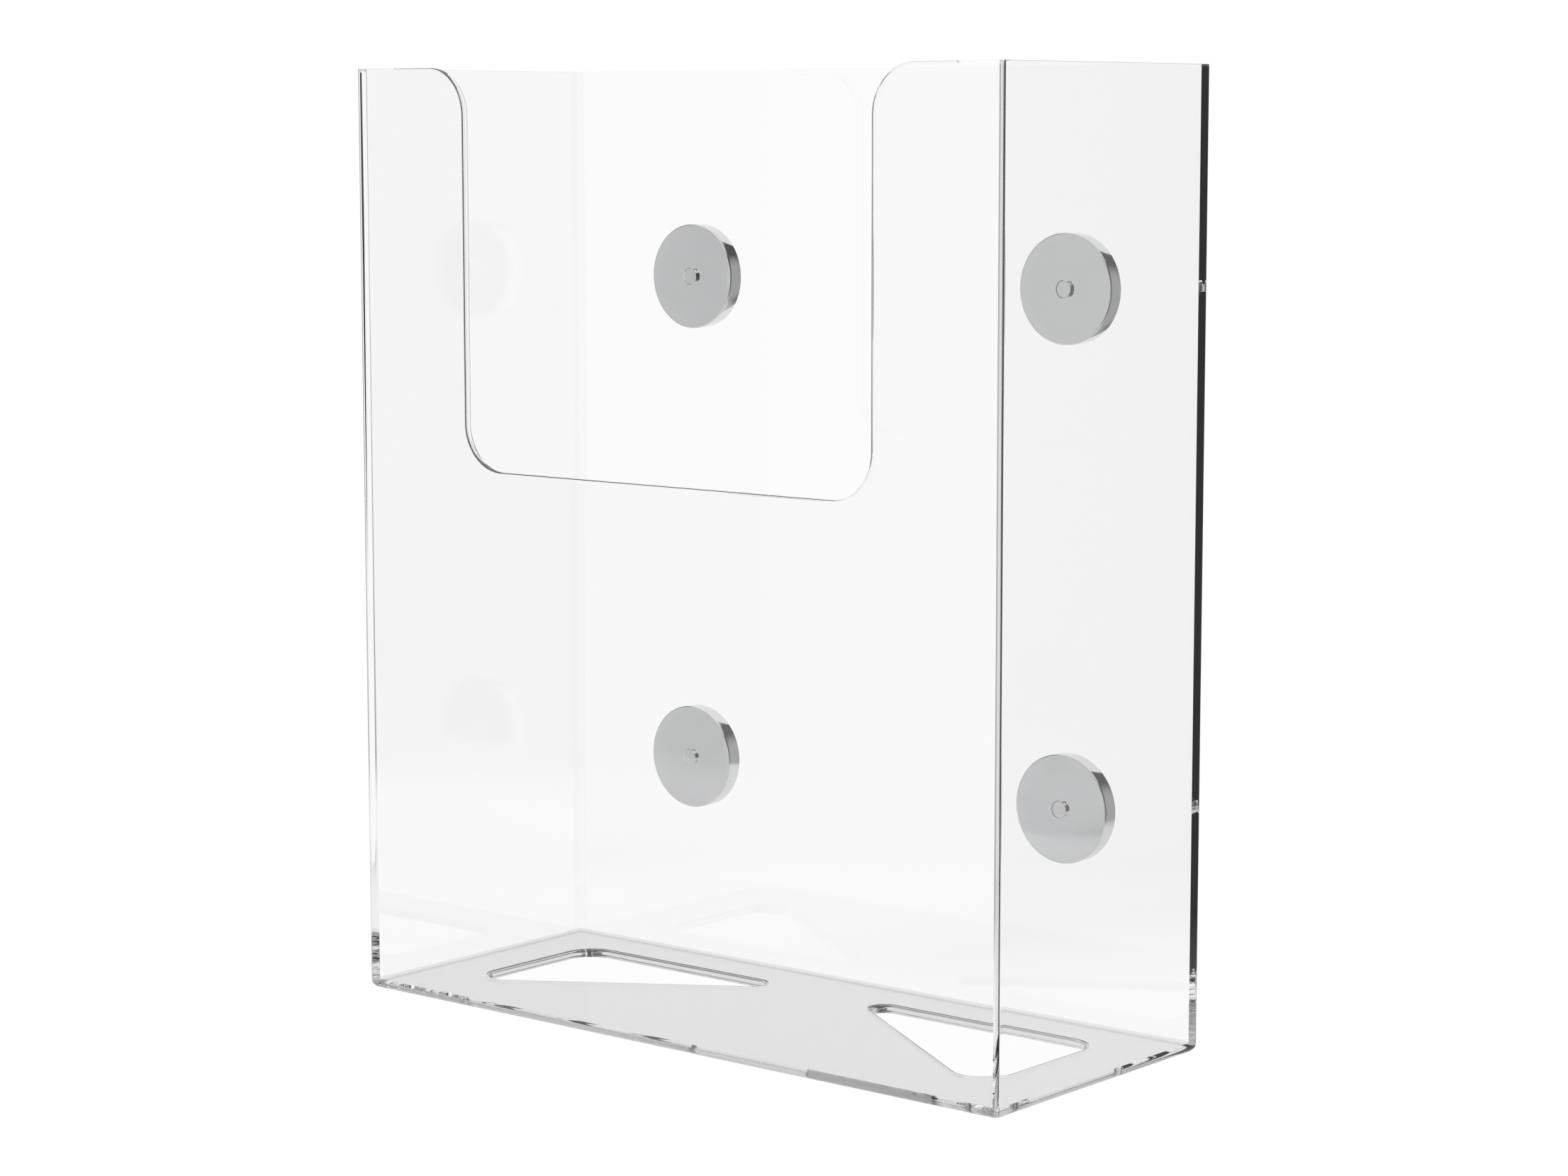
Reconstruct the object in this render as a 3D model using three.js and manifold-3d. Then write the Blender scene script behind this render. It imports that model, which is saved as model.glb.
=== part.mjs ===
// A clear acrylic magazine holder: an open-topped box of bonded sheet that hangs on a steel board by four
// pot magnets behind its back panel. Millimetres, +Z up, the front faces -Y, origin at the bottom centre.
import * as THREE from "three";
import Module from "manifold-3d";

const wasm = await Module();
wasm.setup();

// Driving dimensions.
const SHEET = 3; // thickness of every panel
const BOX_W = 257; // outer width
const BOX_D = 103; // outer depth, without the magnets
const BOX_H = 300; // outer height
const EDGE_R = 1.2; // rounding of the upright outer edges, the opening and the cut-outs
const BASE_EDGE_R = 2.6; // rounding of the base plate's lower outer edge
const BASE_EDGE_FLAT = 0.2; // least straight part left above that rounding

const EAR_W = 47.2; // the front panel on either side of its opening
const OPENING_SILL = 174; // height of the opening's lower edge above the resting face
const OPENING_R = 15; // the opening's corners and the flare at its top

const CUT_HALF_GAP = 12.6; // from the middle to the cut-outs' inner sharp corners
const CUT_SIDE_MARGIN = 24; // from the box's side to a cut-out
const CUT_DEPTH_MARGIN = 21.4; // from the box's front or back to a cut-out
const CUT_INNER_R = 4.5; // rounding of the acute corner near the middle
const CUT_SQUARE_R = 9; // rounding of the square corner
const CUT_FRONT_R = 8; // rounding of the corner near the front

const MAGNET_D = 34.5; // outer diameter of a cup
const MAGNET_T = 5.3; // its thickness
const MAGNET_FROM_SIDE = 53; // from the box's side to a magnet's axis
const MAGNET_FROM_BASE = 69.5; // from the resting face to the lower axes
const MAGNET_FROM_TOP = 68; // from the top edge to the upper axes
const CUP_WALL = 1.6;
const CUP_FLOOR = 1.5;
const CUP_CHAMFER = 0.5; // the polished bevel on the visible edge
const CUP_REAR_CHAMFER = 0.25;

const STUD_D = 5.5; // the part that stands in the back panel
const STUD_RISE = 1.4; // how far it stands in
const STUD_HOLE_CLEARANCE = 0.05; // all round, between stud and panel
const STUD_NECK_D = 3.6; // through the cup's floor
const STUD_HEAD_D = 6.4; // the riveted head inside the cup
const STUD_HEAD_T = 0.9;
const STUD_CHAMFER = 0.2;
const FIT_CLEARANCE = 0.05; // between the parts inside a cup

const POTTING_W = 1.55; // width of the potting ring between cup and ring magnet
const RING_HOLE_D = 8; // the ring magnet's hole
const RING_CHAMFER = 0.3;

const ROUND = 72; // segments round a cup, magnet or potting ring
const STUD_ROUND = 40; // segments round a stud and its hole
const CORNER = 20; // segments of a panel's quarter circle
const EDGE_STEPS = 6; // segments of a rounded edge
const BASE_EDGE_STEPS = 12;

// Sizes that follow from them.
const TOTAL_D = BOX_D + MAGNET_T;
const FRONT_Y = -TOTAL_D / 2;
const BACK_Y = FRONT_Y + BOX_D; // outer face of the back panel, where the magnets sit
const MIDDLE_Y = (FRONT_Y + BACK_Y) / 2;
const CUT_R = [CUT_INNER_R, CUT_SQUARE_R, CUT_FRONT_R];
const MAGNET_X = BOX_W / 2 - MAGNET_FROM_SIDE;
const MAGNET_Z = [MAGNET_FROM_BASE, BOX_H - MAGNET_FROM_TOP];
const POTTING_R = MAGNET_D / 2 - CUP_WALL - FIT_CLEARANCE; // outer radius of the potting ring
const RING_R = POTTING_R - POTTING_W - FIT_CLEARANCE; // outer radius of the ring magnet

// Materials.
const acrylic = new THREE.MeshStandardMaterial({
  color: 0xeef2f3,
  roughness: 0.05,
  metalness: 0,
  transparent: true,
  opacity: 0.3,
});
const polishedSteel = new THREE.MeshStandardMaterial({ color: 0xb9bbbc, roughness: 0.12, metalness: 1 });
const brightStud = new THREE.MeshStandardMaterial({ color: 0xb4b6b8, roughness: 0.16, metalness: 1 });
const ferrite = new THREE.MeshStandardMaterial({ color: 0x2c2b2d, roughness: 0.7, metalness: 0.1 });
const resin = new THREE.MeshStandardMaterial({ color: 0x1a1a1c, roughness: 0.45, metalness: 0 });

const root = new THREE.Group();

function add(parent, name, geometry, material) {
  const mesh = new THREE.Mesh(geometry, material);
  mesh.name = name;
  parent.add(mesh);
  return mesh;
}

// Points of a closed outline whose corners are {x, y, r}, each rounded by an arc of radius r.
function roundedOutline(corners, quarterSteps = CORNER) {
  const points = [];
  corners.forEach((corner, i) => {
    const here = new THREE.Vector2(corner.x, corner.y);
    if (!corner.r) {
      points.push(here);
      return;
    }
    const before = corners[(i + corners.length - 1) % corners.length];
    const after = corners[(i + 1) % corners.length];
    const toBefore = new THREE.Vector2(before.x, before.y).sub(here).normalize();
    const toAfter = new THREE.Vector2(after.x, after.y).sub(here).normalize();
    const half = Math.acos(THREE.MathUtils.clamp(toBefore.dot(toAfter), -1, 1)) / 2;
    const bisector = toBefore.clone().add(toAfter).normalize();
    const centre = here.clone().addScaledVector(bisector, corner.r / Math.sin(half));
    const start = here.clone().addScaledVector(toBefore, corner.r / Math.tan(half)).sub(centre);
    const sweep = Math.PI - 2 * half;
    const sign = Math.sign(-toBefore.x * toAfter.y + toBefore.y * toAfter.x);
    const steps = Math.max(2, Math.ceil((sweep / (Math.PI / 2)) * quarterSteps));
    for (let k = 0; k <= steps; k += 1) {
      const turned = start.clone().rotateAround(new THREE.Vector2(), (sign * sweep * k) / steps);
      points.push(turned.add(centre));
    }
  });
  return points;
}

// The same corners with every side moved out by distance. The corners run anticlockwise.
function grown(corners, distance) {
  return corners.map((corner, i) => {
    const before = corners[(i + corners.length - 1) % corners.length];
    const after = corners[(i + 1) % corners.length];
    const [first, second] = [
      [before, corner],
      [corner, after],
    ].map(([from, to]) => new THREE.Vector2(to.y - from.y, from.x - to.x).normalize());
    const move = first.clone().add(second).multiplyScalar(distance / (1 + first.dot(second)));
    const turn = Math.sign(first.cross(second));
    return { x: corner.x + move.x, y: corner.y + move.y, r: corner.r ? corner.r + turn * distance : 0 };
  });
}

// A closed surface through outlines {z, points} that all have the same number of points.
function stacked(levels) {
  const count = levels[0].points.length;
  const vertices = levels.flatMap(({ z, points }) => points.flatMap((p) => [p.x, p.y, z]));
  const faces = [];
  for (let k = 0; k + 1 < levels.length; k += 1) {
    for (let i = 0; i < count; i += 1) {
      const a = k * count + i;
      const b = k * count + ((i + 1) % count);
      faces.push(a, b, b + count, a, b + count, a + count);
    }
  }
  for (const [a, b, c] of THREE.ShapeUtils.triangulateShape(levels[0].points, [])) {
    const top = (levels.length - 1) * count;
    faces.push(a, c, b, top + a, top + b, top + c);
  }
  const geometry = new THREE.BufferGeometry();
  geometry.setAttribute("position", new THREE.Float32BufferAttribute(vertices, 3));
  geometry.setIndex(faces);
  return geometry;
}

// Cuts an opening through a sheet that lies between z = 0 and SHEET, and rounds both its edges by EDGE_R.
function roundedCutter(corners) {
  const radius = Math.min(EDGE_R, SHEET / 2 - BASE_EDGE_FLAT / 2);
  const level = (z, distance) => ({ z, points: roundedOutline(grown(corners, distance)) });
  const lower = [level(-1, radius)];
  const upper = [level(SHEET + 1, radius)];
  for (let k = EDGE_STEPS; k >= 0; k -= 1) {
    const angle = ((Math.PI / 2) * k) / EDGE_STEPS;
    const depth = radius * (1 - Math.sin(angle));
    const distance = radius * (1 - Math.cos(angle));
    lower.push(level(depth, distance));
    upper.unshift(level(SHEET - depth, distance));
  }
  return stacked([...lower, ...upper]);
}

function solidOf(geometry) {
  const bare = new THREE.BufferGeometry();
  bare.setAttribute("position", geometry.getAttribute("position"));
  bare.setIndex(geometry.index);
  const flat = bare.index ? bare.toNonIndexed() : bare;
  const position = flat.getAttribute("position");
  const found = new Map();
  const vertices = [];
  const triangles = [];
  for (let i = 0; i < position.count; i += 1) {
    const point = [position.getX(i), position.getY(i), position.getZ(i)];
    const key = point.map((value) => Math.round(value * 1e4)).join();
    if (!found.has(key)) {
      found.set(key, vertices.length / 3);
      vertices.push(...point);
    }
    triangles.push(found.get(key));
  }
  const mesh = new wasm.Mesh({
    numProp: 3,
    vertProperties: new Float32Array(vertices),
    triVerts: new Uint32Array(triangles),
  });
  return new wasm.Manifold(mesh);
}

function geometryOf(solid) {
  const mesh = solid.getMesh();
  const geometry = new THREE.BufferGeometry();
  geometry.setAttribute("position", new THREE.BufferAttribute(mesh.vertProperties, mesh.numProp));
  geometry.setIndex(new THREE.BufferAttribute(mesh.triVerts, 1));
  const flat = geometry.toNonIndexed();
  flat.computeVertexNormals();
  return flat;
}

// The whole box as a block, with its outer edges rounded: EDGE_R upright, and BASE_EDGE_R at the bottom.
function outerBlock() {
  const bottom = Math.min(BASE_EDGE_R, SHEET - BASE_EDGE_FLAT);
  const level = (z, inset) => {
    const [x, y] = [BOX_W / 2 - inset, BOX_D / 2 - inset];
    const corners = [
      { x: -x, y: -y, r: EDGE_R },
      { x, y: -y, r: EDGE_R },
      { x, y, r: EDGE_R },
      { x: -x, y, r: EDGE_R },
    ];
    return { z, points: roundedOutline(corners, EDGE_STEPS) };
  };
  const levels = [];
  for (let k = 0; k <= BASE_EDGE_STEPS; k += 1) {
    const angle = ((Math.PI / 2) * k) / BASE_EDGE_STEPS;
    levels.push(level(bottom * (1 - Math.cos(angle)), bottom * (1 - Math.sin(angle))));
  }
  levels.push(level(BOX_H, 0));
  return solidOf(stacked(levels).translate(0, MIDDLE_Y, 0));
}

// The piece of the block between two opposite corners.
function pieceOf(block, low, high) {
  const size = high.map((value, i) => value - low[i]);
  const middle = high.map((value, i) => (value + low[i]) / 2);
  return block.intersect(solidOf(new THREE.BoxGeometry(...size).translate(...middle)));
}

// The right-angled triangle that is cut out of the base plate on one side: -1 left, 1 right.
function cutOut(side) {
  const far = side * (BOX_W / 2 - CUT_SIDE_MARGIN);
  const halfDepth = BOX_D / 2 - CUT_DEPTH_MARGIN;
  const corners = [
    { x: side * CUT_HALF_GAP, y: halfDepth },
    { x: far, y: halfDepth },
    { x: far, y: -halfDepth },
  ].map((corner, i) => ({ ...corner, r: CUT_R[i] }));
  return solidOf(roundedCutter(side < 0 ? corners : corners.reverse()).translate(0, MIDDLE_Y, 0));
}

function basePlate(block) {
  const low = [-BOX_W / 2 - 1, FRONT_Y - 1, -1];
  const plate = pieceOf(block, low, [BOX_W / 2 + 1, BACK_Y + 1, SHEET]);
  return plate.subtract(cutOut(-1)).subtract(cutOut(1));
}

function frontPanel(block) {
  const half = BOX_W / 2 - EAR_W;
  const beyond = 2 * OPENING_R; // the opening's cutter reaches past the panel's top
  const opening = roundedCutter([
    { x: -half, y: OPENING_SILL, r: OPENING_R },
    { x: half, y: OPENING_SILL, r: OPENING_R },
    { x: half, y: BOX_H, r: OPENING_R },
    { x: half + beyond, y: BOX_H },
    { x: half + beyond, y: BOX_H + beyond },
    { x: -half - beyond, y: BOX_H + beyond },
    { x: -half - beyond, y: BOX_H },
    { x: -half, y: BOX_H, r: OPENING_R },
  ]);
  const upright = opening.rotateX(Math.PI / 2).translate(0, FRONT_Y + SHEET, 0);
  const high = [BOX_W / 2 + 1, FRONT_Y + SHEET, BOX_H + 1];
  return pieceOf(block, [-BOX_W / 2 - 1, FRONT_Y - 1, SHEET], high).subtract(solidOf(upright));
}

function backPanel(block) {
  const high = [BOX_W / 2 + 1, BACK_Y + 1, BOX_H + 1];
  let panel = pieceOf(block, [-BOX_W / 2 - 1, BACK_Y - SHEET, SHEET], high);
  const radius = STUD_D / 2 + STUD_HOLE_CLEARANCE;
  const depth = STUD_RISE + STUD_HOLE_CLEARANCE; // the holes are blind
  for (const z of MAGNET_Z) {
    for (const side of [-1, 1]) {
      const drill = new THREE.CylinderGeometry(radius, radius, 2 * depth, STUD_ROUND);
      panel = panel.subtract(solidOf(drill.translate(side * MAGNET_X, BACK_Y, z)));
    }
  }
  return panel;
}

function sidePanel(block, side) {
  const [outer, inner] = [side * (BOX_W / 2 + 1), side * (BOX_W / 2 - SHEET)];
  const low = [Math.min(outer, inner), FRONT_Y + SHEET, SHEET];
  return pieceOf(block, low, [Math.max(outer, inner), BACK_Y - SHEET, BOX_H + 1]);
}

// A turned piece on the Y axis from points [radius, y], which run round the section and close on it.
function turned(points, segments) {
  const profile = points.map(([radius, y]) => new THREE.Vector2(radius, y));
  const area = profile.reduce((sum, p, i) => {
    const next = profile[(i + 1) % profile.length];
    return sum + p.x * next.y - next.x * p.y;
  }, 0);
  if (area < 0) {
    profile.reverse();
  }
  if (points.every(([radius]) => radius > 0)) {
    profile.push(profile[0].clone());
  }
  return new THREE.LatheGeometry(profile, segments);
}

// One pot magnet. Its own origin is on its axis, at the back panel's outer face.
function cupGeometry() {
  const r = MAGNET_D / 2;
  const inner = r - CUP_WALL;
  const hole = STUD_NECK_D / 2 + FIT_CLEARANCE;
  return turned(
    [
      [hole, 0],
      [r - CUP_CHAMFER, 0],
      [r, CUP_CHAMFER],
      [r, MAGNET_T - CUP_REAR_CHAMFER],
      [r - CUP_REAR_CHAMFER, MAGNET_T],
      [inner, MAGNET_T],
      [inner, CUP_FLOOR],
      [hole, CUP_FLOOR],
    ],
    ROUND,
  );
}

function studGeometry() {
  const r = STUD_D / 2;
  const neck = STUD_NECK_D / 2;
  const head = STUD_HEAD_D / 2;
  const inside = CUP_FLOOR + FIT_CLEARANCE;
  return turned(
    [
      [0, -STUD_RISE],
      [r - STUD_CHAMFER, -STUD_RISE],
      [r, -STUD_RISE + STUD_CHAMFER],
      [r, -FIT_CLEARANCE],
      [neck, -FIT_CLEARANCE],
      [neck, inside],
      [head, inside],
      [head, inside + STUD_HEAD_T - STUD_CHAMFER],
      [head - STUD_CHAMFER, inside + STUD_HEAD_T],
      [0, inside + STUD_HEAD_T],
    ],
    STUD_ROUND,
  );
}

function ringGeometry() {
  const hole = RING_HOLE_D / 2;
  const floor = CUP_FLOOR + FIT_CLEARANCE;
  return turned(
    [
      [hole, floor],
      [RING_R, floor],
      [RING_R, MAGNET_T - RING_CHAMFER],
      [RING_R - RING_CHAMFER, MAGNET_T],
      [hole + RING_CHAMFER, MAGNET_T],
      [hole, MAGNET_T - RING_CHAMFER],
    ],
    ROUND,
  );
}

function pottingGeometry() {
  const inner = RING_R + FIT_CLEARANCE;
  const floor = CUP_FLOOR + FIT_CLEARANCE;
  const face = MAGNET_T - 2 * RING_CHAMFER;
  return turned(
    [
      [inner, floor],
      [POTTING_R, floor],
      [POTTING_R, face],
      [inner, face],
    ],
    ROUND,
  );
}

const block = outerBlock();
for (const [name, solid] of [
  ["base_plate", basePlate(block)],
  ["front_panel", frontPanel(block)],
  ["back_panel", backPanel(block)],
  ["left_side_panel", sidePanel(block, -1)],
  ["right_side_panel", sidePanel(block, 1)],
]) {
  add(root, name, geometryOf(solid), acrylic);
}

MAGNET_Z.forEach((z, row) => {
  for (const side of [-1, 1]) {
    const place = `${row ? "upper" : "lower"}_${side < 0 ? "left" : "right"}`;
    const magnet = new THREE.Group();
    magnet.position.set(side * MAGNET_X, BACK_Y, z);
    add(magnet, `magnet_cup_${place}`, cupGeometry(), polishedSteel);
    add(magnet, `magnet_stud_${place}`, studGeometry(), brightStud);
    add(magnet, `ring_magnet_${place}`, ringGeometry(), ferrite);
    add(magnet, `potting_ring_${place}`, pottingGeometry(), resin);
    root.add(magnet);
  }
});

export default root;
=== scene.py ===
"""A clear acrylic magazine holder that hangs by pot magnets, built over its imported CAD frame."""

import math

import bmesh
import bpy
from mathutils import Matrix, Vector


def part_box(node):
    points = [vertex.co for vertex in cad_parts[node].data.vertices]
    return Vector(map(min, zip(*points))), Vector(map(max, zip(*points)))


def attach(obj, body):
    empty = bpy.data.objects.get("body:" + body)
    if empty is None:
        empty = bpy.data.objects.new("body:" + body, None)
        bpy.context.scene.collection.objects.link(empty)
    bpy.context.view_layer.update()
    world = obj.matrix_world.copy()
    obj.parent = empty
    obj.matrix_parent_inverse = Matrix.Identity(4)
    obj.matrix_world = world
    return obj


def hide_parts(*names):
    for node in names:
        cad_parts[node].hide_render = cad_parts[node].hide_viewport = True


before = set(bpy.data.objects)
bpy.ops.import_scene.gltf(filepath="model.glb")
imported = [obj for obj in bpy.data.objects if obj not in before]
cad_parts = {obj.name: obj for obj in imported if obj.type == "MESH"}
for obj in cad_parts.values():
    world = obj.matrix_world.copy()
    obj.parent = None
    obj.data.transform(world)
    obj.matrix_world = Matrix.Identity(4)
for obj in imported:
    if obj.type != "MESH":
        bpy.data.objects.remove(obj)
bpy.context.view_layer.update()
MM = 0.001

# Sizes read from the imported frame, in metres.
front_low, front_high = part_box("front_panel")
back_low, back_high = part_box("back_panel")
base_low, base_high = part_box("base_plate")
SHEET = base_high.z - base_low.z
LEFT, RIGHT = front_low.x, front_high.x
FRONT, BACK = front_low.y, back_high.y
CENTRE_Y = (FRONT + BACK) / 2

PANELS = ("base_plate", "front_panel", "back_panel", "left_side_panel", "right_side_panel")
PLACES = ("lower_left", "lower_right", "upper_left", "upper_right")

WELD_TOLERANCE = 0.1 * MM
EDGE_BEVEL = 0.25 * MM  # the sheet's edges, where the CAD leaves them sharp
BEVEL_FROM = math.radians(35)  # an outer edge that turns by more than this is sharp
PANEL_SMOOTH = math.radians(60)  # faces that meet at less than this are shaded as one
TURNED_SMOOTH = math.radians(40)
FLAT_WITHIN = math.radians(0.5)
SAME_POINT = 1e-6
WELDED = 1  # the mark on the faces between two welded sheets


# ---------------------------------------------------------------- camera

# Metres from the box's middle, then yaw, pitch and roll in degrees.
CAMERA_AT = Vector((0.73434, -0.87289 + CENTRE_Y, 0.28268))
YAW, PITCH, ROLL = 39.826, 7.226, 0.042
LENS = 84.15

camera_data = bpy.data.cameras.new("camera")
camera_data.lens = LENS
camera_data.sensor_width = 36.0
camera = bpy.data.objects.new("camera", camera_data)
bpy.context.scene.collection.objects.link(camera)
yaw, pitch, roll = map(math.radians, (YAW, PITCH, ROLL))
ahead = Vector(
    (-math.sin(yaw) * math.cos(pitch), math.cos(yaw) * math.cos(pitch), -math.sin(pitch))
)
right = Vector((math.cos(yaw), math.sin(yaw), 0.0))
down = ahead.cross(right)
right, down = (
    math.cos(roll) * right + math.sin(roll) * down,
    math.cos(roll) * down - math.sin(roll) * right,
)
camera.matrix_world = Matrix(
    (
        (right.x, -down.x, -ahead.x, CAMERA_AT.x),
        (right.y, -down.y, -ahead.y, CAMERA_AT.y),
        (right.z, -down.z, -ahead.z, CAMERA_AT.z),
        (0, 0, 0, 1),
    )
)
camera_data.clip_start, camera_data.clip_end = 0.01, 100
bpy.context.scene.camera = camera


# ---------------------------------------------------------------- materials


def node(tree, kind, **values):
    made = tree.nodes.new(kind)
    for key, value in values.items():
        if key.startswith("in_"):
            made.inputs[key[3:].replace("_", " ")].default_value = value
        else:
            setattr(made, key, value)
    return made


def start_material(name):
    material = bpy.data.materials.new(name)
    material.use_nodes = True
    tree = material.node_tree
    tree.nodes.clear()
    output = node(tree, "ShaderNodeOutputMaterial")
    shader = node(tree, "ShaderNodeBsdfPrincipled")
    tree.links.new(shader.outputs["BSDF"], output.inputs["Surface"])
    return material, tree, shader


def noise(tree, scale, detail=2.0):
    """A noise texture in the piece's own metres. Returns its factor socket."""
    place = node(tree, "ShaderNodeTexCoord")
    texture = node(tree, "ShaderNodeTexNoise", in_Scale=scale, in_Detail=detail)
    tree.links.new(place.outputs["Object"], texture.inputs["Vector"])
    return texture.outputs["Fac"]


def ranged(tree, socket, low, high, start=0.3, end=0.7):
    mapped = node(tree, "ShaderNodeMapRange")
    for name, value in (("From Min", start), ("From Max", end), ("To Min", low), ("To Max", high)):
        mapped.inputs[name].default_value = value
    tree.links.new(socket, mapped.inputs["Value"])
    return mapped.outputs["Result"]


def bump(tree, shader, socket, strength, distance):
    made = node(tree, "ShaderNodeBump", in_Strength=strength, in_Distance=distance)
    tree.links.new(socket, made.inputs["Height"])
    tree.links.new(made.outputs["Normal"], shader.inputs["Normal"])


ACRYLIC_IOR = 1.49


def acrylic(name, tint_and_shade):
    """Clear cast sheet: it bends light, with a trace of handling marks in its gloss. A darker
    colour given to it is painted shade.
    """
    material, tree, shader = start_material(name)
    shader.inputs["Base Color"].default_value = (*tint_and_shade, 1)
    shader.inputs["Transmission Weight"].default_value = 1.0
    shader.inputs["IOR"].default_value = ACRYLIC_IOR
    marks = noise(tree, 60.0, 4.0)
    tree.links.new(ranged(tree, marks, 0.0, 0.012, 0.5, 0.8), shader.inputs["Roughness"])
    bump(tree, shader, noise(tree, 9.0, 1.0), 0.02, 0.2 * MM)
    return material


def steel(name, colour, rough):
    material, tree, shader = start_material(name)
    shader.inputs["Metallic"].default_value = 1.0
    grain = noise(tree, 900.0, 3.0)
    mix = node(tree, "ShaderNodeMix", data_type="RGBA")
    mix.inputs["A"].default_value = (*[0.94 * c for c in colour], 1)
    mix.inputs["B"].default_value = (*colour, 1)
    tree.links.new(noise(tree, 70.0), mix.inputs["Factor"])
    tree.links.new(mix.outputs["Result"], shader.inputs["Base Color"])
    tree.links.new(ranged(tree, grain, rough * 0.7, rough * 1.3), shader.inputs["Roughness"])
    bump(tree, shader, grain, 0.02, 0.02 * MM)
    return material


def dull(name, dark, light, rough_low, rough_high, scale):
    material, tree, shader = start_material(name)
    grain = noise(tree, scale, 5.0)
    mix = node(tree, "ShaderNodeMix", data_type="RGBA")
    mix.inputs["A"].default_value = (*dark, 1)
    mix.inputs["B"].default_value = (*light, 1)
    tree.links.new(ranged(tree, grain, 0.0, 1.0), mix.inputs["Factor"])
    tree.links.new(mix.outputs["Result"], shader.inputs["Base Color"])
    tree.links.new(ranged(tree, grain, rough_low, rough_high), shader.inputs["Roughness"])
    bump(tree, shader, grain, 0.3, 0.05 * MM)
    return material


WALL = acrylic("clear_acrylic_wall", (0.988, 0.988, 0.99))
# The base plate is the walls' sheet tinted much darker: painted shade for the dim floor under the
# plate.
SHADED_BASE_SHEET = acrylic("acrylic_base_painted_shade", (0.69, 0.69, 0.692))
CUP = steel("polished_cup", (0.74, 0.745, 0.75), 0.06)
STUD = steel("polished_stud", (0.73, 0.735, 0.74), 0.08)
FERRITE = dull("ferrite", (0.025, 0.025, 0.027), (0.06, 0.058, 0.06), 0.45, 0.7, 1200.0)
RESIN = dull("potting_resin", (0.01, 0.01, 0.012), (0.02, 0.02, 0.022), 0.25, 0.4, 500.0)


# ---------------------------------------------------------------- panels


def new_piece(name, mesh, slot, *nodes):
    made = bpy.data.objects.new(name, mesh)
    bpy.context.scene.collection.objects.link(made)
    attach(made, "root")
    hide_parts(*nodes)
    return made


def is_bonded(name, centre, normal):
    """True for a face that is welded to a neighbouring panel."""
    inner_left, inner_right = LEFT + SHEET, RIGHT - SHEET
    inner_front, inner_back = FRONT + SHEET, BACK - SHEET
    if name == "base_plate":
        inside = inner_left < centre.x < inner_right and inner_front < centre.y < inner_back
        return normal.z > 0.9 and not inside
    if normal.z < -0.9 and centre.z < base_high.z + WELD_TOLERANCE:
        return True
    at_side = not inner_left < centre.x < inner_right
    if name == "front_panel":
        return normal.y > 0.9 and at_side
    if name == "back_panel":
        return normal.y < -0.9 and at_side
    return abs(normal.y) > 0.9


def split_at(bm, point, normal):
    everything = bm.verts[:] + bm.edges[:] + bm.faces[:]
    bmesh.ops.bisect_plane(bm, geom=everything, dist=SAME_POINT, plane_co=point, plane_no=normal)


def build_panel(name):
    """The CAD node's sheet with its free edges softened.

    A weld leaves no surface between two sheets, so the welded faces are left out. They are
    marked first and deleted last, because the bevel needs closed edges.
    """
    bm = bmesh.new()
    bm.from_mesh(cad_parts[name].data)
    bmesh.ops.remove_doubles(bm, verts=bm.verts, dist=SAME_POINT)
    bmesh.ops.dissolve_limit(bm, angle_limit=FLAT_WITHIN, verts=bm.verts, edges=bm.edges)
    for x in (LEFT + SHEET, RIGHT - SHEET):
        if name in ("base_plate", "front_panel", "back_panel"):
            split_at(bm, (x, 0, 0), (1, 0, 0))
    if name == "base_plate":
        for y in (FRONT + SHEET, BACK - SHEET):
            split_at(bm, (0, y, 0), (0, 1, 0))
    bm.normal_update()
    bonded = {f for f in bm.faces if is_bonded(name, f.calc_center_median(), f.normal)}
    for f in bonded:
        f.material_index = WELDED
    soft = [
        e
        for e in bm.edges
        if len(e.link_faces) == 2
        and not any(f in bonded for f in e.link_faces)
        and e.calc_face_angle_signed() > BEVEL_FROM
    ]
    bmesh.ops.bevel(
        bm,
        geom=soft,
        offset=EDGE_BEVEL,
        segments=3,
        profile=0.5,
        affect="EDGES",
        clamp_overlap=True,
    )
    welded = [f for f in bm.faces if f.material_index == WELDED]
    bmesh.ops.delete(bm, geom=welded, context="FACES")
    mesh = bpy.data.meshes.new(name)
    bm.to_mesh(mesh)
    bm.free()
    # The base plate takes the darker copy of the sheet, whose tint is painted shade.
    mesh.materials.append(SHADED_BASE_SHEET if name == "base_plate" else WALL)
    mesh.polygons.foreach_set("use_smooth", [True] * len(mesh.polygons))
    mesh.set_sharp_from_angle(angle=PANEL_SMOOTH)
    made = new_piece("acrylic_" + name, mesh, "acrylic", name)
    flat = made.modifiers.new("flat faces", "WEIGHTED_NORMAL")
    flat.weight = 100
    flat.keep_sharp = True
    return made


for panel in PANELS:
    build_panel(panel)


# ---------------------------------------------------------------- magnets

CONTACT = 0.04 * MM  # air between a magnet cup and the back panel
CUP_EDGE = 0.45 * MM  # roundings
CUP_REAR_EDGE = 0.25 * MM
STUD_EDGE = 0.25 * MM
RING_EDGE = 0.3 * MM
STUD_R = 2.75 * MM
STUD_NECK_R = 1.8 * MM
CUP_HOLE_R = 1.85 * MM
RING_HOLE_R = 4.0 * MM
HAIR = 0.01 * MM  # the clearances between the pieces of a magnet
FINE = 0.02 * MM
POTTING_FIT = 0.03 * MM
HEAD_FIT = 0.05 * MM
POTTING_DIP = 0.15 * MM  # how far the resin sinks between cup and ring


def arc(centre, radius, start, end, steps):
    """Points [radius, y] on an arc, with angles in degrees."""
    turn = [math.radians(start + (end - start) * k / steps) for k in range(steps + 1)]
    return [(centre[0] + radius * math.cos(a), centre[1] + radius * math.sin(a)) for a in turn]


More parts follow.
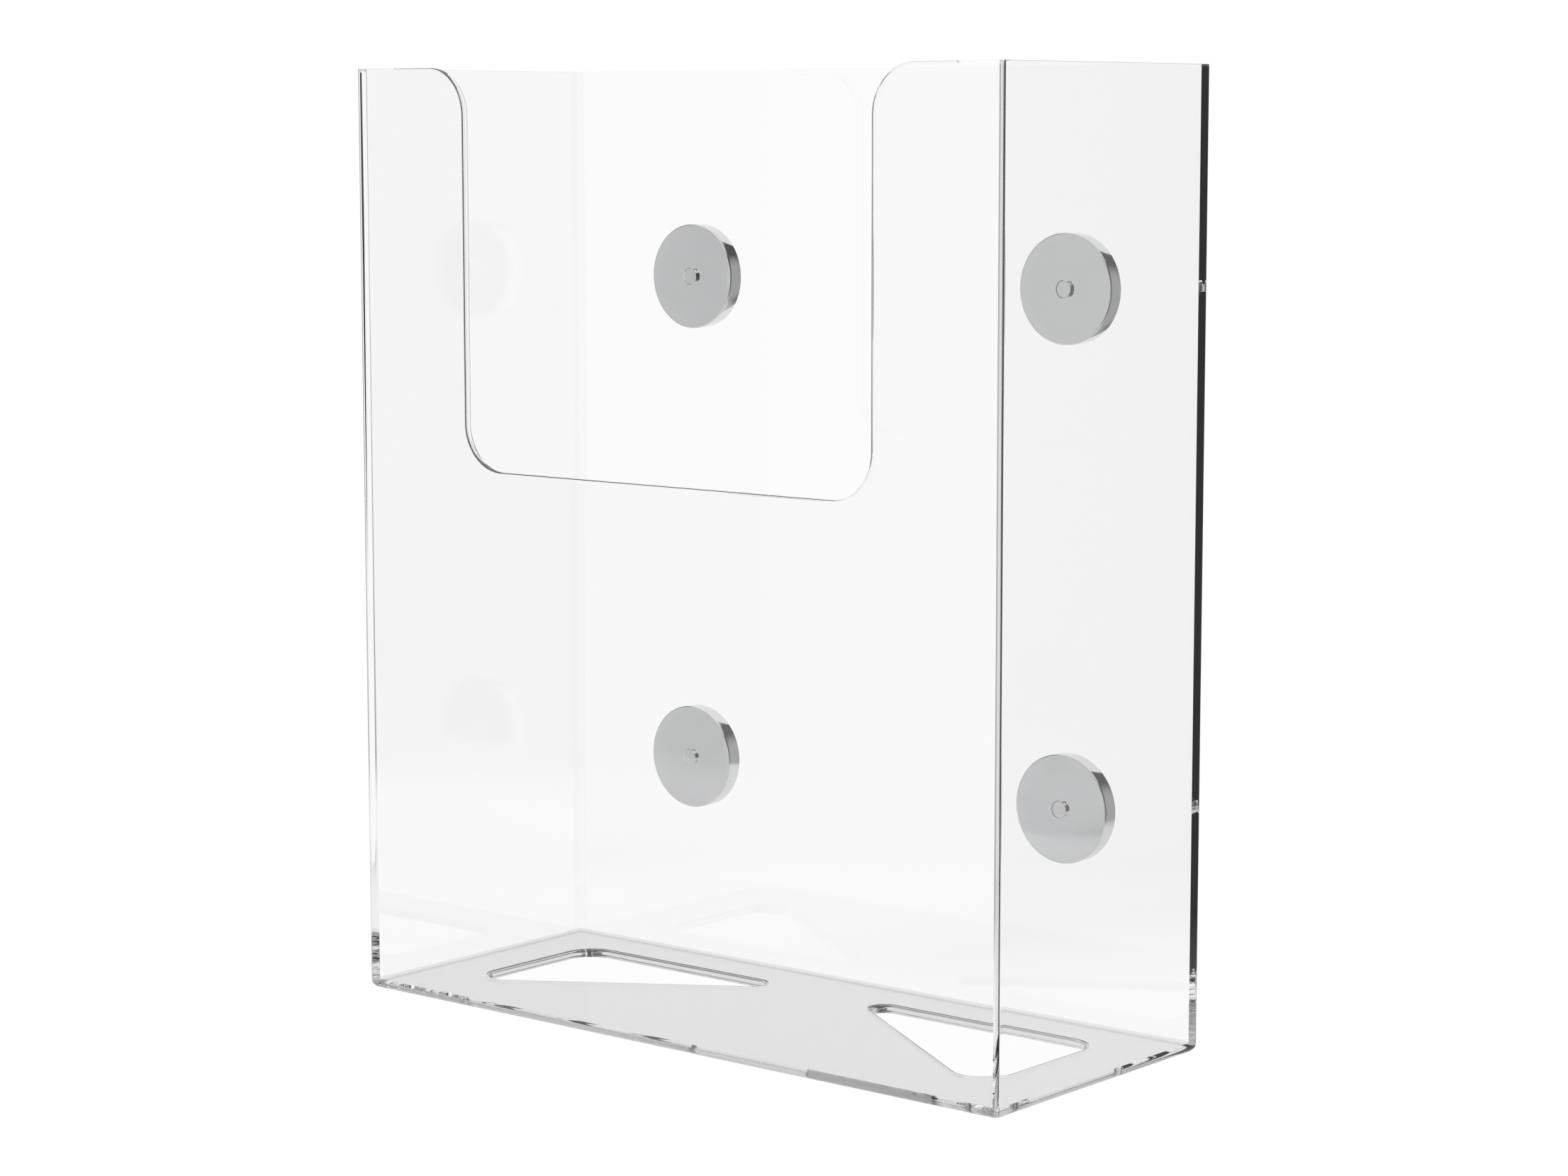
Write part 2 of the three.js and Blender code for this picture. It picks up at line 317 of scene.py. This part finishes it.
def lathe(name, profile, axis, material, slot, cad_node, segments=128, closed=True):
    """A turned mesh on a line along Y through axis. The profile is [radius, y] in metres."""
    bm = bmesh.new()
    rings = []
    for radius, y in profile:
        if radius < 1e-7:
            rings.append([bm.verts.new((axis.x, y, axis.z))])
            continue
        ring = []
        for k in range(segments):
            a = 2 * math.pi * k / segments
            x, z = axis.x + radius * math.cos(a), axis.z + radius * math.sin(a)
            ring.append(bm.verts.new((x, y, z)))
        rings.append(ring)
    pairs = list(zip(rings, rings[1:]))
    if closed:
        pairs.append((rings[-1], rings[0]))
    for a, b in pairs:
        for k in range(segments):
            j = (k + 1) % segments
            corners = [a[k % len(a)], a[j % len(a)], b[j % len(b)], b[k % len(b)]]
            unique = [v for i, v in enumerate(corners) if v not in corners[:i]]
            if len(unique) > 2:
                bm.faces.new(unique)
    bmesh.ops.recalc_face_normals(bm, faces=bm.faces)
    mesh = bpy.data.meshes.new(name)
    bm.to_mesh(mesh)
    bm.free()
    mesh.materials.append(material)
    mesh.polygons.foreach_set("use_smooth", [True] * len(mesh.polygons))
    mesh.set_sharp_from_angle(angle=TURNED_SMOOTH)
    return new_piece(name, mesh, slot, cad_node)


def build_magnet(place):
    cup_low, cup_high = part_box("magnet_cup_" + place)
    ring_low, ring_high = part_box("ring_magnet_" + place)
    pot_low, pot_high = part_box("potting_ring_" + place)
    stud_low, stud_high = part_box("magnet_stud_" + place)
    axis = (cup_low + cup_high) / 2
    cup_r = (cup_high.x - cup_low.x) / 2
    ring_r = (ring_high.x - ring_low.x) / 2
    pot_r = (pot_high.x - pot_low.x) / 2
    head_r = (stud_high.x - stud_low.x) / 2
    near, far = cup_low.y + CONTACT, cup_high.y
    floor = ring_low.y - FINE

    def piece(kind, profile, material, slot, **options):
        name = kind + "_" + place
        lathe(name + "_visual", profile, axis, material, slot, name, **options)

    cup = [(CUP_HOLE_R, near), (cup_r - CUP_EDGE, near)]
    cup += arc((cup_r - CUP_EDGE, near + CUP_EDGE), CUP_EDGE, -90, 0, 6)[1:]
    cup += arc((cup_r - CUP_REAR_EDGE, far - CUP_REAR_EDGE), CUP_REAR_EDGE, 0, 90, 4)
    cup += [(pot_r + POTTING_FIT, far), (pot_r + POTTING_FIT, floor), (CUP_HOLE_R, floor)]
    piece("magnet_cup", cup, CUP, "polished_steel")

    face = stud_low.y + FINE
    shoulder, head = cup_low.y + HAIR, floor + HEAD_FIT
    stud = [(0, face), (STUD_R - STUD_EDGE, face)]
    stud += arc((STUD_R - STUD_EDGE, face + STUD_EDGE), STUD_EDGE, -90, 0, 5)[1:]
    stud += [(STUD_R, shoulder), (STUD_NECK_R, shoulder), (STUD_NECK_R, head), (head_r, head)]
    stud += arc((head_r - STUD_EDGE, stud_high.y - STUD_EDGE), STUD_EDGE, 0, 90, 4)
    stud += [(0, stud_high.y)]
    piece("magnet_stud", stud, STUD, "polished_steel", segments=64, closed=False)

    ring = [(RING_HOLE_R, ring_low.y), (ring_r, ring_low.y)]
    ring += arc((ring_r - RING_EDGE, far - RING_EDGE), RING_EDGE, 0, 90, 4)
    ring += arc((RING_HOLE_R + RING_EDGE, far - RING_EDGE), RING_EDGE, 90, 180, 4)
    piece("ring_magnet", ring, FERRITE, "ferrite")

    pot = [(ring_r + FINE, pot_low.y), (pot_r, pot_low.y), (pot_r, pot_high.y)]
    pot += [((pot_r + ring_r) / 2, pot_high.y - POTTING_DIP), (ring_r + FINE, pot_high.y)]
    piece("potting_ring", pot, RESIN, "potting_resin")


for place in PLACES:
    build_magnet(place)


# ---------------------------------------------------------------- studio

STUDIO_CENTRE = (0, 0, 0.15)
FLOOR_HALF = 6.0
FLOOR_BELOW = 0.3 * MM
BOUNCES = 34  # the light trapped in the sheet's edges goes dark beyond this

# What the surfaces mirror: a dark room with soft patches of light. Each has a direction, its reach
# and the width of its edge in degrees, and its strength.
DARK = 0.03
PATCHES = (
    ((-0.50, 0.86, -0.05), 34, 4, 1.0),  # white sweep behind the rack
    ((-0.63, -0.76, -0.13), 42, 25, 0.78),  # pale room to the front left
    ((0.66, 0.74, -0.13), 30, 20, 0.42),  # pale room to the back right
    ((0.0, 0.1, -1.0), 60, 20, 0.9),  # table top
    ((-0.25, 0.72, 0.62), 22, 3, 1.0),  # lamp above the sweep
    ((0.28, -0.52, 0.79), 24, 6, 1.0),  # lamp above the camera
    ((0.0, 0.0, 1.0), 46, 8, 0.9),  # ceiling
)


def pattern(tree, direction):
    """The strength socket of the studio seen along direction, a unit vector socket."""
    total = None
    for towards, reach, edge, strength in PATCHES:
        dot = node(tree, "ShaderNodeVectorMath", operation="DOT_PRODUCT")
        dot.inputs[1].default_value = Vector(towards).normalized()
        tree.links.new(direction, dot.inputs[0])
        lobe = node(tree, "ShaderNodeMapRange", interpolation_type="SMOOTHSTEP")
        lobe.inputs["From Min"].default_value = math.cos(math.radians(reach + edge / 2))
        lobe.inputs["From Max"].default_value = math.cos(math.radians(reach - edge / 2))
        lobe.inputs["To Min"].default_value = DARK
        lobe.inputs["To Max"].default_value = strength
        tree.links.new(dot.outputs["Value"], lobe.inputs["Value"])
        if total is None:
            total = lobe.outputs["Result"]
            continue
        most = node(tree, "ShaderNodeMath", operation="MAXIMUM")
        tree.links.new(total, most.inputs[0])
        tree.links.new(lobe.outputs["Result"], most.inputs[1])
        total = most.outputs["Value"]
    return total


def studio_strength(tree, direction):
    """White for what is seen straight or through the sheet, the studio for what is mirrored."""
    path = node(tree, "ShaderNodeLightPath")
    mirrored = node(tree, "ShaderNodeMath", operation="GREATER_THAN")
    mirrored.inputs[1].default_value = 0.5
    tree.links.new(path.outputs["Glossy Depth"], mirrored.inputs[0])
    blend = node(tree, "ShaderNodeMix", data_type="FLOAT")
    blend.inputs["A"].default_value = 1.0
    tree.links.new(mirrored.outputs["Value"], blend.inputs["Factor"])
    tree.links.new(pattern(tree, direction), blend.inputs["B"])
    return blend.outputs["Result"]


world = bpy.data.worlds.new("studio")
bpy.context.scene.world = world
world.use_nodes = True
tree = world.node_tree
tree.nodes.clear()
sky = node(tree, "ShaderNodeBackground")
sky.inputs["Color"].default_value = (1, 1, 1, 1)
out = node(tree, "ShaderNodeOutputWorld")
tree.links.new(sky.outputs["Background"], out.inputs["Surface"])
seen_along = node(tree, "ShaderNodeTexCoord").outputs["Generated"]
tree.links.new(studio_strength(tree, seen_along), sky.inputs["Strength"])
world.cycles.sampling_method = "NONE"

floor_material = bpy.data.materials.new("pale_floor")
floor_material.use_nodes = True
tree = floor_material.node_tree
tree.nodes.clear()
glow = node(tree, "ShaderNodeEmission")
glow.inputs["Color"].default_value = (1, 1, 1, 1)
out = node(tree, "ShaderNodeOutputMaterial")
tree.links.new(glow.outputs["Emission"], out.inputs["Surface"])
place = node(tree, "ShaderNodeVectorMath", operation="SUBTRACT")
tree.links.new(node(tree, "ShaderNodeTexCoord").outputs["Object"], place.inputs[0])
place.inputs[1].default_value = STUDIO_CENTRE
unit = node(tree, "ShaderNodeVectorMath", operation="NORMALIZE")
tree.links.new(place.outputs["Vector"], unit.inputs[0])
tree.links.new(studio_strength(tree, unit.outputs["Vector"]), glow.inputs["Strength"])
floor_material.cycles.emission_sampling = "NONE"

floor_mesh = bpy.data.meshes.new("floor")
bm = bmesh.new()
bmesh.ops.create_grid(bm, x_segments=2, y_segments=2, size=FLOOR_HALF)
bm.to_mesh(floor_mesh)
bm.free()
floor_mesh.materials.append(floor_material)
floor = bpy.data.objects.new("floor", floor_mesh)
bpy.context.scene.collection.objects.link(floor)
floor.location.z = -FLOOR_BELOW

scene = bpy.context.scene
scene.view_settings.view_transform = "Standard"
scene.view_settings.look = "None"
scene.cycles.max_bounces = BOUNCES
scene.cycles.glossy_bounces = BOUNCES
scene.cycles.transmission_bounces = BOUNCES
scene.cycles.diffuse_bounces = 3
scene.cycles.transparent_max_bounces = 32
scene.cycles.caustics_reflective = True
scene.cycles.caustics_refractive = True
scene.cycles.sample_clamp_indirect = 0
